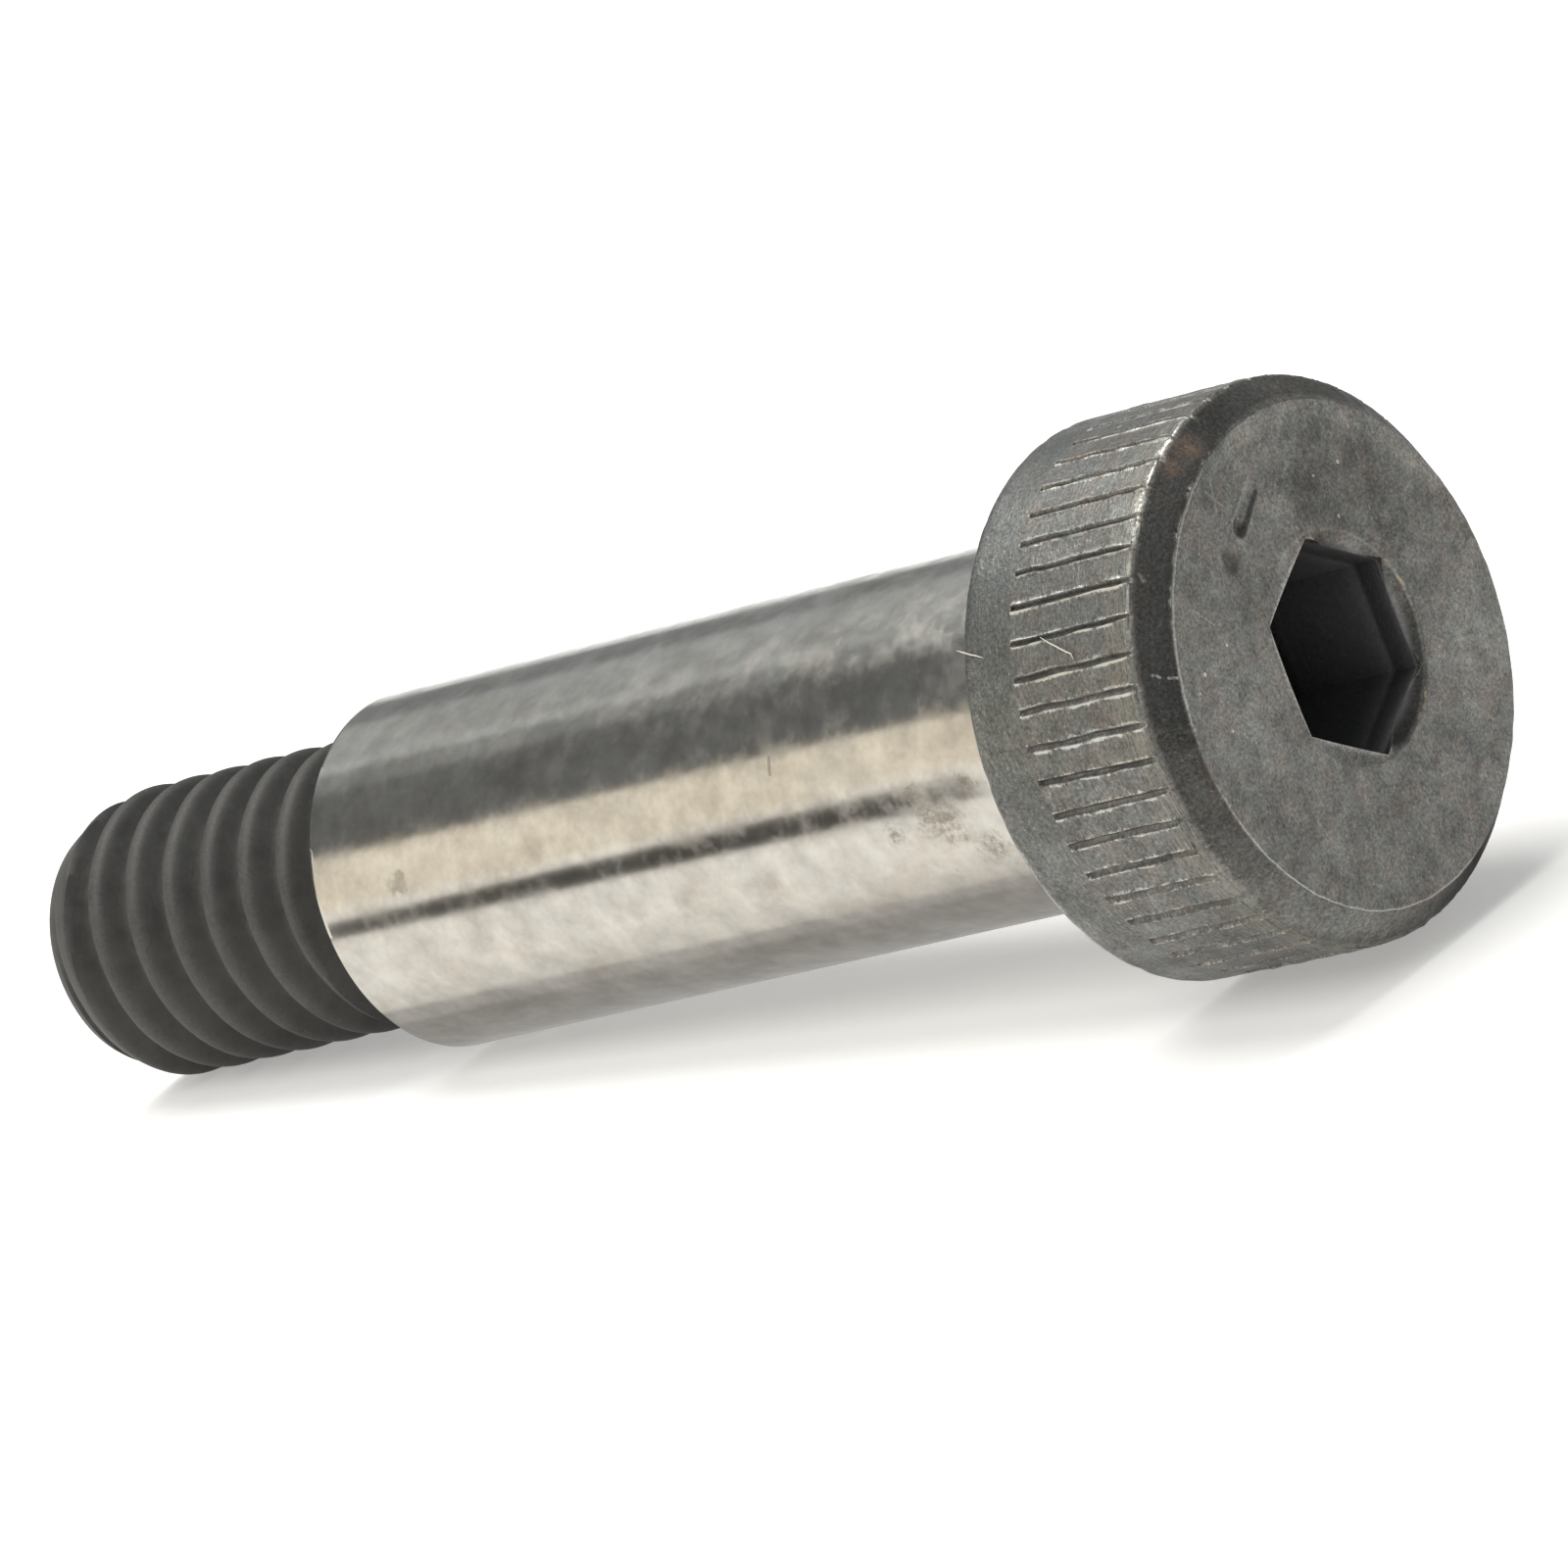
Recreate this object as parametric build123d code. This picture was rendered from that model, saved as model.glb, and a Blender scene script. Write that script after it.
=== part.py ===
from build123d import *
import math
import os

# Shoulder bolt: one steel turning with a knurled round head, a hexagon socket,
# a ground shoulder and a reduced threaded end. All sizes in millimetres.
#
# The bolt is drawn along its own axis first: x = 0 is the underside of the
# head, +x points out of the socket and -x towards the thread. It is then laid
# down as it comes to rest, on the rim of the head and the end of the thread.

# ---- head ----
head_d = 14.28  # 9/16 in round head
head_h = 6.25  # 1/4 in head, at the middle of its tolerance
face_d = 12.76  # flat of the face, inside the edge chamfer
edge_round = 0.40  # round between the chamfer and the knurled side
rim_round = 0.25  # round at the underside rim

# ---- knurl: straight pressed grooves on the side of the head ----
groove_count = 51
groove_x0 = 1.68  # square end, next to the plain band
groove_x1 = 5.36  # runs out at the rounded top edge
groove_w = 0.26
groove_depth = 0.17
groove_phase = 91.16  # degrees from +y towards +z, one groove's place

# ---- hexagon socket ----
socket_af = 4.83  # 3/16 in key
socket_depth = 4.20
socket_phase = 26.79  # degrees from +y towards +z, one corner's place
socket_at = (0.20, 0.12)  # the forged socket sits a little off the axis: (y, z)
sink_d = 5.90  # countersunk mouth, a little wider than the corners
sink_slope = 30.0  # degrees between the countersink and the face
point_slope = 30.0  # conical bottom left by the drill

# ---- shoulder ----
shoulder_d = 9.45  # 3/8 in shoulder, ground under size to run in a 3/8 in hole
shoulder_len = 25.4  # 1 in, from the underside of the head
shoulder_chamfer = 0.30
head_neck_d = 8.80  # relief next to the head
head_neck_w = 1.45
neck_fillet = 0.40  # under the head; it reaches a little above the shoulder's diameter

# ---- thread: 5/16 in, 18 threads to the inch ----
thread_d = 7.76  # major diameter of an external thread of this size
thread_len = 11.1  # from the shoulder's end face to the tip
thread_neck_d = 6.00
thread_neck_w = 0.85
thread_ramp = 0.65  # from the neck up to the thread's major diameter
tip_d = 6.50
tip_chamfer = 1.30

# ---- two old dents in the face: (y, z) in the plane of the face ----
gouge_a = (-0.70, 4.70)  # shallow end
gouge_b = (-1.90, 4.10)  # deep end
gouge_r = 0.36
gouge_depth_a = 0.05
gouge_depth_b = 0.14
dimple_at = (-2.53, 3.65)
dimple_r = 0.62
dimple_depth = 0.07

head_r = head_d / 2
face_r = face_d / 2
sh_r = shoulder_d / 2
th_r = thread_d / 2
chamfer = head_r - face_r  # 45 degrees
x_sh = -shoulder_len
x_tip = -shoulder_len - thread_len


def pt(x, r):
    return Vector(x, 0, r)


# ---- profile of the whole turning, in the half plane above the axis ----
t45 = edge_round * math.tan(math.radians(22.5))
x_corner = head_h - chamfer  # sharp corner before rounding
ec = (x_corner - t45, head_r - edge_round)  # centre of the edge round
mid = math.radians(67.5)
neck_r = head_neck_d / 2
x_neck_in = -head_neck_w
x_neck_out = x_neck_in - (sh_r - neck_r)
x_tneck = x_sh - thread_neck_w
x_thread = x_tneck - thread_ramp
x_point = x_tip + tip_chamfer

with BuildSketch(Plane.XZ) as turning:
    with BuildLine():
        Line((x_tip, 0), (head_h, 0))
        Line((head_h, 0), (head_h, face_r))
        a = (x_corner + t45 / math.sqrt(2), head_r - t45 / math.sqrt(2))
        b = (ec[0], head_r)
        Line((head_h, face_r), a)
        ThreePointArc(
            a,
            (ec[0] + edge_round * math.cos(mid), ec[1] + edge_round * math.sin(mid)),
            b,
        )
        Line(b, (rim_round, head_r))
        q = rim_round * math.sqrt(0.5)
        ThreePointArc(
            (rim_round, head_r),
            (rim_round - q, head_r - rim_round + q),
            (0, head_r - rim_round),
        )
        Line((0, head_r - rim_round), (0, neck_r + neck_fillet))
        w = neck_fillet * (1 - math.sqrt(0.5))
        ThreePointArc((0, neck_r + neck_fillet), (-w, neck_r + w), (-neck_fillet, neck_r))
        Line((-neck_fillet, neck_r), (x_neck_in, neck_r))
        Line((x_neck_in, neck_r), (x_neck_out, sh_r))
        Line((x_neck_out, sh_r), (x_sh + shoulder_chamfer, sh_r))
        Line((x_sh + shoulder_chamfer, sh_r), (x_sh, sh_r - shoulder_chamfer))
        Line((x_sh, sh_r - shoulder_chamfer), (x_sh, thread_neck_d / 2))
        Line((x_sh, thread_neck_d / 2), (x_tneck, thread_neck_d / 2))
        Line((x_tneck, thread_neck_d / 2), (x_thread, th_r))
        Line((x_thread, th_r), (x_point, th_r))
        Line((x_point, th_r), (x_tip, tip_d / 2))
        Line((x_tip, tip_d / 2), (x_tip, 0))
    make_face()

bolt = revolve(turning.sketch, axis=Axis.X, revolution_arc=360)

# ---- hexagon socket, countersunk, with a conical bottom ----
corner_r = socket_af / math.sqrt(3)
face_plane = Plane(
    origin=(head_h + 0.5, socket_at[0], socket_at[1]),
    x_dir=(
        0,
        math.cos(math.radians(socket_phase)),
        math.sin(math.radians(socket_phase)),
    ),
    z_dir=(-1, 0, 0),
)
hexagon = face_plane * RegularPolygon(corner_r, 6, major_radius=True)
socket = extrude(hexagon, amount=socket_depth + 0.5)
sink_r = sink_d / 2
sink_deep = sink_r * math.tan(math.radians(sink_slope))
over = 0.5 / math.tan(math.radians(sink_slope))
with BuildSketch(Plane.XZ) as sink_half:
    with BuildLine():
        Polyline(
            (head_h - sink_deep, 0),
            (head_h + 0.5, sink_r + over),
            (head_h + 0.5, 0),
            (head_h - sink_deep, 0),
        )
    make_face()
sink = revolve(sink_half.sketch, axis=Axis.X, revolution_arc=360)
drill_r = socket_af / 2 - 0.05
drill_deep = drill_r * math.tan(math.radians(point_slope))
x_floor = head_h - socket_depth
with BuildSketch(Plane.XZ) as point_half:
    with BuildLine():
        Polyline(
            (x_floor + 0.2, 0),
            (x_floor + 0.2, drill_r),
            (x_floor, drill_r),
            (x_floor - drill_deep, 0),
            (x_floor + 0.2, 0),
        )
    make_face()
point = revolve(point_half.sketch, axis=Axis.X, revolution_arc=360)
sink = sink.translate(Vector(0, *socket_at))
point = point.translate(Vector(0, *socket_at))

# ---- knurl grooves: a vee with a square end and a run-out end ----
half = groove_w / 2
lift = 0.12  # the cutter stands this far outside the head
x_run = groove_x1 - 0.75  # the groove gets shallower from here


def groove_cutter():
    # sections across the groove, as (y, z) about the top of the head
    def vee(x, depth):
        w = half * (depth + lift) / groove_depth
        return Wire.make_polygon(
            [
                Vector(x, 0, head_r - depth),
                Vector(x, w, head_r + lift),
                Vector(x, -w, head_r + lift),
            ],
            close=True,
        )

    body = Solid.make_loft(
        [vee(groove_x0, groove_depth), vee(x_run, groove_depth)], ruled=True
    )
    tail = Solid.make_loft([vee(x_run, groove_depth), vee(groove_x1, 0.03)], ruled=True)
    return body.fuse(tail)


cutter = groove_cutter()
grooves = []
for k in range(groove_count):
    angle = groove_phase - 90.0 + k * 360.0 / groove_count
    grooves.append(cutter.rotate(Axis.X, angle))

# ---- the two dents ----


def sunk(p, radius, depth):
    return Vector(head_h + radius - depth, p[0], p[1])


ga = sunk(gouge_a, gouge_r, gouge_depth_a)
gb = sunk(gouge_b, gouge_r, gouge_depth_b)
run = gb - ga
gouge = Solid.make_cylinder(gouge_r, run.length, Plane(origin=ga, z_dir=run))
gouge = gouge.fuse(
    Solid.make_sphere(gouge_r, Plane(origin=gb)),
    Solid.make_sphere(gouge_r, Plane(origin=ga)),
)
dimple = Solid.make_sphere(dimple_r, Plane(origin=sunk(dimple_at, dimple_r, dimple_depth)))

bolt = bolt - socket - sink - point
bolt = bolt - gouge - dimple
bolt = bolt - grooves

# ---- lay the bolt down on the rim of the head and the end of the thread ----
# The resting line is the common tangent of the rim's round and the corner
# where the thread's full diameter ends.
cx, cr = rim_round, head_r - rim_round
dx, dr = cx - x_point, cr - th_r
reach = math.hypot(dx, dr)
tilt = math.degrees(math.asin(rim_round / reach) + math.atan2(dr, dx))
bolt = bolt.rotate(Axis.Y, -tilt)
box = bolt.bounding_box()
shift = Vector(
    -(box.min.X + box.max.X) / 2, -(box.min.Y + box.max.Y) / 2, -box.min.Z
)
bolt = bolt.translate(shift)

solids = bolt.solids()
print("solids", len(solids), "valid", solids[0].is_valid, "tilt", round(tilt, 4))
print("volume mm3", round(solids[0].volume, 2), "mass g", round(solids[0].volume * 7.85e-3, 2))
print("shift", shift)
box = bolt.bounding_box()
print("box", box.min, box.max)


def placed(x, y, z):
    # a point of the bolt's own drawing, in the finished position
    t = math.radians(tilt)
    return (
        x * math.cos(t) - z * math.sin(t) + shift.X,
        y + shift.Y,
        x * math.sin(t) + z * math.cos(t) + shift.Z,
    )


print("axis +x", (math.cos(math.radians(tilt)), 0.0, math.sin(math.radians(tilt))))
print("shoulder middle", placed((x_neck_out + x_sh + shoulder_chamfer) / 2, 0, 0))
print("thread middle", placed((x_thread + x_point) / 2, 0, 0))
print("underside point", placed(0, 5.8, 0))
print("shoulder face point", placed(x_sh, 3.7, 0))
print("socket mouth", placed(head_h, *socket_at))

os.makedirs("parts", exist_ok=True)
export_step(solids[0], "parts/shoulder_bolt.step")
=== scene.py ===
import bpy
import math
import numpy as np
from mathutils import Matrix, Vector


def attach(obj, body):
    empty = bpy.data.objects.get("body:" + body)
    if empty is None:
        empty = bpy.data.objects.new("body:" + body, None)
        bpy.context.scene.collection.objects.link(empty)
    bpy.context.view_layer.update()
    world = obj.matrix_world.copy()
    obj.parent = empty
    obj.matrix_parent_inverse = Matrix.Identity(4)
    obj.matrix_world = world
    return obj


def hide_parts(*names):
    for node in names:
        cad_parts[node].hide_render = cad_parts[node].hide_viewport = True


# Shoulder bolt: one finely modelled skin of the whole turning, in the frame of
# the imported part. Lengths below are millimetres along the bolt's own drawing:
# x = 0 is the underside of the head, +x points out of the socket, -x to the
# thread; the angle psi runs from +y towards +z.

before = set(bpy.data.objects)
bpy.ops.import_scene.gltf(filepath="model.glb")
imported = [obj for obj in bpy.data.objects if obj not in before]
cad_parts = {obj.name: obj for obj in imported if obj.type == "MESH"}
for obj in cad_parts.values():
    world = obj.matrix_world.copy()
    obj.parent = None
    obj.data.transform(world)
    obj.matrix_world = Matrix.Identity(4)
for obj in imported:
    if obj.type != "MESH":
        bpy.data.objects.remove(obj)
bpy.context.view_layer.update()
rng = np.random.default_rng(37)

# ---------------------------------------------------------------- dimensions
HEAD_R, HEAD_H, FACE_R = 7.14, 6.25, 6.38
RIM = 0.25
GROOVES, G_PHASE, G_X0 = 51, 91.04, 1.68
AF, AF_MOUTH, SOCKET_DEEP, HEX_PHASE = 4.83, 4.98, 4.20, 26.79
SOCKET_AT = (0.20, 0.12)
SINK_R, SINK_SLOPE = 2.95, 30.0
SH_R, SH_LEN, SH_CHAMFER = 4.725, 25.4, 0.30
NECK_R, NECK_IN, NECK_OUT, NECK_FILLET = 4.40, -1.45, -1.775, 0.40
TH_R, TH_MINOR, PITCH, TH_PHASE = 3.88, 3.10, 25.4 / 18.0, 0.39
TN_R, TN_X, TR_X = 3.00, -26.25, -26.90
TIP_X, TIP_R, POINT_X = -36.50, 3.25, -35.20

# the bolt lies on the rim of its head and the end of its thread
TILT = math.radians(5.2559)
SHIFT = np.array([14.918048, 0.0, 7.088131])


def to_row(p):
    """Bolt drawing, mm -> row frame, metres."""
    c, s = math.cos(TILT), math.sin(TILT)
    x, y, z = p[..., 0], p[..., 1], p[..., 2]
    return np.stack([x * c - z * s, y, x * s + z * c], -1) * 0.001 + SHIFT * 0.001


def waves(n, kx, m, amp, seed):
    """A smooth random field over (x, psi), periodic in psi."""
    r = np.random.default_rng(seed)
    fx = r.uniform(-kx, kx, n)
    fm = r.integers(-m, m + 1, n)
    ph = r.uniform(0, 2 * np.pi, n)
    w = r.uniform(0.5, 1.0, n)
    w = w / np.sqrt((w**2).sum()) * math.sqrt(2) * amp

    def f(x, psi):
        x = np.asarray(x, float)[..., None]
        psi = np.asarray(psi, float)[..., None]
        return (w * np.sin(fx * x + fm * psi + ph)).sum(-1)

    return f


def smooth(t):
    t = np.clip(t, 0, 1)
    return t * t * (3 - 2 * t)


# ------------------------------------------------------------------ the skin
ATTS = ("burr", "groove", "edge", "mouth", "rim", "dent", "lint")


class Skin:
    """Rings of points from the thread's tip to the bottom of the socket."""

    def __init__(self):
        self.pts, self.faces, self.mats = [], [], []
        self.att = {k: [] for k in ATTS}
        self.n = 0
        self.last = None

    def add(self, x, r, psi, off=0.0, **att):
        n = len(psi)
        x = np.broadcast_to(np.asarray(x, float), (n,))
        r = np.broadcast_to(np.asarray(r, float), (n,))
        y = r * np.cos(psi) + off * SOCKET_AT[0]
        z = r * np.sin(psi) + off * SOCKET_AT[1]
        self.pts.append(np.stack([x, y, z], -1))
        for k in self.att:
            self.att[k].append(
                np.broadcast_to(np.asarray(att.get(k, 0.0), float), (n,))
            )
        start = self.n
        self.n += n
        return start, n

    def ring(self, x, r, psi, mat, off=0.0, **att):
        start, n = self.add(x, r, psi, off, **att)
        if self.last is not None:
            self.join(self.last, (start, n), mat)
        self.last = (start, n)

    def join(self, a, b, mat):
        (s0, n0), (s1, n1) = a, b
        if n0 == 1:
            j = np.arange(n1)
            f = np.stack([np.full(n1, s0), s1 + (j + 1) % n1, s1 + j], -1).tolist()
        elif n1 == 1:
            j = np.arange(n0)
            f = np.stack([s0 + j, s0 + (j + 1) % n0, np.full(n0, s1)], -1).tolist()
        elif n0 == n1:
            j = np.arange(n0)
            k = (j + 1) % n0
            f = np.stack([s0 + j, s0 + k, s1 + k, s1 + j], -1).tolist()
        elif n1 == 3 * n0:
            f = []
            for j in range(n0):
                c0, c1 = s0 + j, s0 + (j + 1) % n0
                q = [s1 + (3 * j + i) % n1 for i in range(4)]
                f += [[c0, q[1], q[0]], [c0, c1, q[2], q[1]], [c1, q[3], q[2]]]
        elif n0 == 3 * n1:
            f = []
            for j in range(n1):
                c0, c1 = s1 + j, s1 + (j + 1) % n1
                q = [s0 + (3 * j + i) % n0 for i in range(4)]
                f += [[q[0], q[1], c0], [q[1], q[2], c1, c0], [q[2], q[3], c1]]
        else:
            raise ValueError("rings don't match")
        self.faces += f
        self.mats += [mat] * len(f)


OXIDE, GROUND, THREAD = 0, 1, 2
NC, NF = 204, 612
DEG = np.pi / 180

# the fine columns: twelve to each groove, the groove's own shape among them
PER = 360.0 / GROOVES
ARC = PER * DEG * HEAD_R  # one groove's share of the side, in mm
OFF = np.array(
    [-0.30, -0.20, -0.138, -0.094, -0.062, -0.024, 0.018, 0.060, 0.094, 0.138, 0.20]
)
OFF = np.append(OFF, ARC / 2)  # the last column is the middle of the land
groove_deg = np.concatenate(
    [G_PHASE + k * PER + OFF / (DEG * HEAD_R) for k in range(GROOVES)]
)
# even columns for the face, with the socket's corners on columns of their own
corner_deg = HEX_PHASE + 60.0
shift_cols = int(round((groove_deg[0] - corner_deg) / (360.0 / NF)))
U = (corner_deg + (np.arange(NF) + shift_cols) * 360.0 / NF) * DEG
UC = U[::3]

sk = Skin()

# ---- tip and thread
prof_s = np.linspace(0, 1, 401)
dist = np.minimum(prof_s, 1 - prof_s) * PITCH
depth = TH_R - TH_MINOR
flank = np.clip((dist - 0.20) / math.tan(math.radians(31)), 0, depth)
kern = np.exp(-0.5 * (np.arange(-60, 61) / 400 * PITCH / 0.10) ** 2)
kern /= kern.sum()
flank = np.convolve(np.concatenate([flank[:-1]] * 3), kern, "same")[400:801]
flank -= flank.min()


def thread_r(x, psi):
    s = (x / PITCH - psi / (2 * np.pi) - TH_PHASE) % 1.0
    return TH_R - np.interp(s, prof_s, flank)


def soft_min(a, b, k):
    h = np.clip(0.5 + 0.5 * (b - a) / k, 0, 1)
    return b * (1 - h) + a * h - k * h * (1 - h)


roll = waves(24, 5.0, 9, 0.006, 5)
tip_wave = waves(10, 0.0, 5, 0.012, 6)
sk.last = sk.add(TIP_X + 0.05, 0.0, np.zeros(1))
for r in (0.5, 1.0, 1.5, 2.0, 2.4, 2.7, 2.92):
    dish = 0.05 * (1 - (r / 2.92) ** 2)
    sk.ring(TIP_X + dish, r, UC, THREAD)
rows = np.arange(TIP_X, TN_X + 1e-6, PITCH / 16)
for i, x in enumerate(rows):
    cone = TIP_R + (x - TIP_X) * (TH_R - TIP_R) / (POINT_X - TIP_X) + tip_wave(x, UC)
    fade = smooth((x - TIP_X - 0.02) / 0.55)
    r = TH_R - (TH_R - thread_r(x, UC)) * fade
    r = soft_min(r, cone, 0.10)
    ramp = TN_R + (TN_X - x) * (TH_R - TN_R) / (TN_X - TR_X)
    r = np.minimum(soft_min(r, np.full(NC, ramp), 0.06), TH_R)
    r = np.maximum(r, TN_R) + roll(x, UC) * fade - 0.004
    if i == 0:
        sk.ring(x + 0.015, r - 0.12, UC, THREAD)
        sk.ring(x + 0.03, r - 0.03, UC, THREAD)
        continue
    sk.ring(x, r, UC, THREAD)
for x, r in ((-26.0, TN_R), (-25.62, TN_R), (-25.47, 3.07), (-25.41, 3.22)):
    sk.ring(x, r, UC, THREAD)
# ---- shoulder's end face, chamfer, shoulder
for x, r in ((-25.40, 3.40), (-25.40, 3.9), (-25.40, 4.32)):
    sk.ring(x, r, UC, THREAD)
end_wave = waves(12, 0.0, 7, 0.010, 8)
for t in (0.0, 0.10, 0.3, 0.5, 0.7, 0.9, 1.0):
    lift = 0.018 * math.sin(math.pi * t)
    x = -25.40 + SH_CHAMFER * t - lift * 0.7
    r = SH_R - SH_CHAMFER * (1 - t) + lift * 0.7
    r = np.minimum(r + end_wave(0, UC) * math.sin(math.pi * t), SH_R)
    sk.ring(x, r, UC, GROUND)
for x in np.linspace(-25.0, -1.95, 26):
    sk.ring(x, SH_R, UC, GROUND)
for x, r in ((-1.84, SH_R - 0.006), (NECK_OUT + 0.01, SH_R - 0.035)):
    sk.ring(x, r, UC, GROUND)
for x, r in ((NECK_IN - 0.02, NECK_R + 0.02), (NECK_IN + 0.06, NECK_R)):
    sk.ring(x, r, UC, OXIDE)
for x in (-1.0, -0.7, -NECK_FILLET):
    sk.ring(x, NECK_R, UC, OXIDE)
for k in (0.25, 0.5, 0.75, 1.0):
    a = -np.pi / 2 * (1 - k)
    x = -NECK_FILLET + NECK_FILLET * math.cos(a)
    sk.ring(x, NECK_R + NECK_FILLET + NECK_FILLET * math.sin(a), UC, OXIDE)
# ---- underside of the head
under = waves(20, 0.0, 12, 0.004, 9)
for r in (5.2, 5.8, 6.4):
    sk.ring(under(r, UC) * 0.5, r, UC, OXIDE)

# ---- the knurled side: straight pressed grooves, each a little different
jit_c = rng.normal(0, 0.16, GROOVES)  # degrees
jit_t = rng.normal(0, 0.045, GROOVES)  # degrees of twist per mm
jit_a = rng.normal(0, 0.020, GROOVES)  # mm at the square end
jit_b = rng.normal(0, 0.035, GROOVES)  # mm at the run-out end
wide = 1.0 + rng.normal(0, 0.06, GROOVES)
deep = 0.088 * (1.0 + rng.normal(0, 0.14, GROOVES))
groove_at = (G_PHASE + np.arange(GROOVES) * PER) % 360
heavy = smooth((groove_at - 190) / 20) * smooth((300 - groove_at) / 30)
deep = deep * (1 + 0.35 * heavy)
lip_u = 0.027 * (1.0 + rng.normal(0, 0.30, GROOVES))
lip_d = 0.021 * (1.0 + rng.normal(0, 0.30, GROOVES))
wob = waves(40, 6.0, 60, 0.075, 10)  # degrees, the grooves' own waviness
rag = waves(60, 11.0, 160, 1.0, 11)
rag2 = waves(60, 22.0, 260, 1.0, 12)
off = np.tile(OFF, GROOVES)
gk = np.repeat(np.arange(GROOVES), 12)


def side_psi(x, narrow):
    """Angles of the fine columns at height x on the head, following the grooves."""
    land = np.abs(off) > 0.25
    scale = np.where(land, 1.0, wide[gk] * narrow)
    scale = scale * np.where(np.abs(off) < 0.15, 1.0 + 0.28 * heavy[gk], 1.0)
    o = off * scale / (DEG * HEAD_R)
    nxt = (gk + 1) % GROOVES
    c = jit_c[gk] + jit_t[gk] * (x - 3.5)
    c2 = jit_c[nxt] + jit_t[nxt] * (x - 3.5)
    mid = np.where(off > 0.25, 0.5 * (c + c2), c)
    return (G_PHASE + gk * PER + o + mid + wob(x, groove_deg * DEG)) * DEG


def edge_r(psi):
    """Radius of the round at the head's top edge, tighter where it is worn bright and carries the painted
    highlight.
    """
    d = np.degrees(psi) % 360
    return 0.15 + 0.48 * smooth((d - 168) / 26) * smooth((330 - d) / 60)


def edge_wear_and_highlight(psi):
    """How much bright metal and painted highlight show at the head's top edge, round the head: strongest on the
    upper left.
    """
    d = (np.degrees(psi) - 90) % 360
    w = smooth((d - 3) / 8) * (1 - 0.45 * smooth((d - 37) / 9))
    w = w * (1 - 0.92 * smooth((d - 73) / 11))
    back = 0.35 * smooth((d - 175) / 30) * smooth((352 - d) / 25)
    return np.maximum(w, back * (0.7 + 0.3 * np.sin(d * 0.21)))


def groove_shape(x):
    """Depth inwards in mm, lip 0..1 and groove 0..1 on each fine column at height x."""
    xs = G_X0 + jit_a[gk]
    d = np.degrees(groove_deg * DEG) % 360
    xe = 5.56 - 0.12 * smooth((d - 160) / 20) + jit_b[gk]
    t0 = smooth((x - (xs - 0.022)) / 0.044)
    t1 = np.clip((xe - x) / 0.55, 0, 1) ** 0.5
    env = t0 * t1
    a = np.abs(off)
    floor_n = rag2(x * 1.7, groove_deg * DEG) * 0.008
    share = np.select([off < -0.04, off < 0.0, off < 0.04], [0.28, 1.0, 0.82], 0.44)
    dd = np.where(a < 0.07, deep[gk] * share, 0.0)
    dd = np.where(a < 0.07, np.maximum(dd + floor_n, 0.0), dd) * env
    near = (x > xs - 0.06) & (x < xe + 0.02)
    lip_h = np.where(off > 0, lip_u[gk], lip_d[gk])
    lip_h = lip_h * (1 - 0.7 * smooth((np.cos((d + 5) * DEG) + 0.05) / 0.4))
    chew = np.clip(0.75 + 0.45 * rag(x, groove_deg * DEG), 0.1, 1.7)
    on_lip = (a > 0.07) & (a < 0.10)
    foot = (a >= 0.10) & (a < 0.15)
    envl = smooth((x - (xs - 0.05)) / 0.05) * smooth((xe + 0.03 - x) / 0.10)
    dd = np.where(on_lip, -lip_h * chew * envl, dd)
    dd = np.where(foot, -lip_h * 0.30 * chew * envl, dd)
    burr = np.where(on_lip & near, np.clip(chew, 0.3, 1.3) * envl, 0.0)
    burr = np.where(foot & near, 0.62 * np.clip(chew, 0.4, 1.2) * envl, burr)
    burr = np.minimum(burr * np.where(off > 0, 1.35, 0.9), 1.3)
    burr = burr * (1 - 0.30 * smooth((d - 160) / 30)) * (1 - 0.35 * smooth((d - 198) / 16))
    # inside: darkest on the groove's upper wall; it drives painted shade in the colour and more roughness
    inside = np.select([off < -0.04, off < 0.0, off < 0.04], [0.35, 1.0, 0.55], 0.0)
    inside = np.where(a < 0.07, inside * env, 0.0)
    return dd, burr, inside


def narrow_at(x):
    return 0.42 + 0.58 * np.clip((5.55 - x) / 0.55, 0, 1) ** 0.6


skin_n = waves(60, 9.0, 90, 0.0022, 13)
rim_n = waves(30, 3.0, 60, 0.010, 14)
P0 = side_psi(0.0, 1.0)
for a in (180, 158, 135, 112, 90):
    c = math.radians(a)
    n = np.minimum(rim_n(0, P0), 0) if a < 170 else 0.0
    x = RIM + RIM * math.cos(c) - n * 0.3 * abs(math.cos(c))
    r = np.minimum(HEAD_R - RIM + RIM * math.sin(c) + n, HEAD_R)
    low = 0.35 + 0.65 * smooth((np.degrees(P0) % 360 - 178) / 14)
    sk.ring(x, r, P0, OXIDE, rim=(1.0 - abs(a - 122) / 60.0) * low)
side_rows = [0.45, 0.8, 1.15, 1.45, 1.59, 1.635, 1.664, 1.686, 1.71, 1.76, 1.90]
side_rows += [2.15, 2.4, 2.65, 2.9, 3.15, 3.4, 3.65, 3.9, 4.15, 4.4, 4.62, 4.82]
side_rows += [5.0, 5.12, 5.24]
for x in side_rows:
    psi = side_psi(x, narrow_at(x))
    bx = x + (jit_a[gk] if 1.60 < x < 1.80 else 0.0)
    dd, burr, inside = groove_shape(bx)
    if x < 1.6:
        dd, burr, inside = dd * 0, burr * 0, inside * 0
    w = np.minimum(skin_n(x, psi), 0.0)
    # worn metal and painted highlight towards the top of the side
    side_wear_and_highlight = smooth((x - 4.3) / 1.0) * 0.55 * edge_wear_and_highlight(psi)
    sk.ring(bx, HEAD_R - dd + w, psi, OXIDE, burr=burr, groove=inside, edge=side_wear_and_highlight)
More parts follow.
